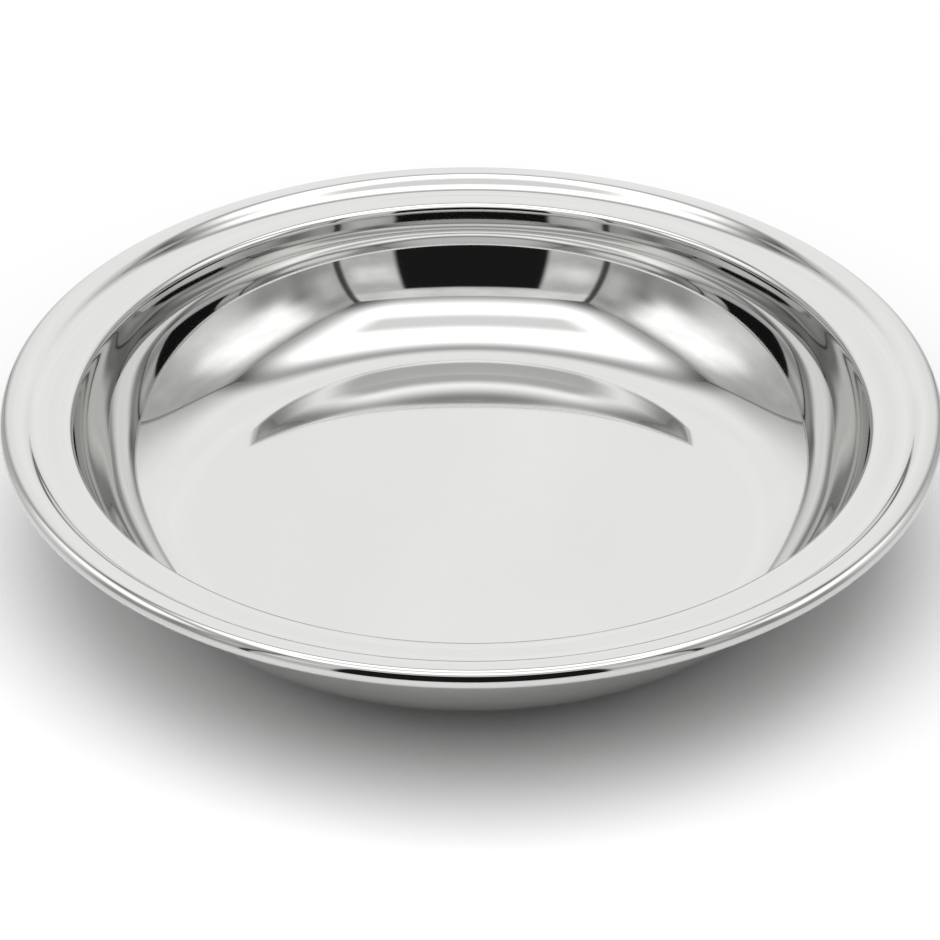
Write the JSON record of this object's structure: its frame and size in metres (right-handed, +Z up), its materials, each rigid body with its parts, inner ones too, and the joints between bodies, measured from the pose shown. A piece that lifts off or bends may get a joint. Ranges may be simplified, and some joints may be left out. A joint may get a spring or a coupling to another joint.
{
  "type": "thali plate",
  "caption": "Deep round thali plate in polished sheet steel, with a wide stepped rim rolled over a stiffening wire.",
  "frame": {"origin": "centre of the flat base, on the surface that the plate stands on", "axes": "+Z up along the axis of the dish, X and Y level; the plate is the same all the way round"},
  "size_m": [0.3, 0.3, 0.0558],
  "materials": {
    "polished_sheet": "mirror-polished stainless steel",
    "wire": "drawn steel wire"
  },
  "bodies": {
    "root": {"pressed_dish": "polished_sheet", "rim_wire": "wire"}
  },
  "joints": []
}
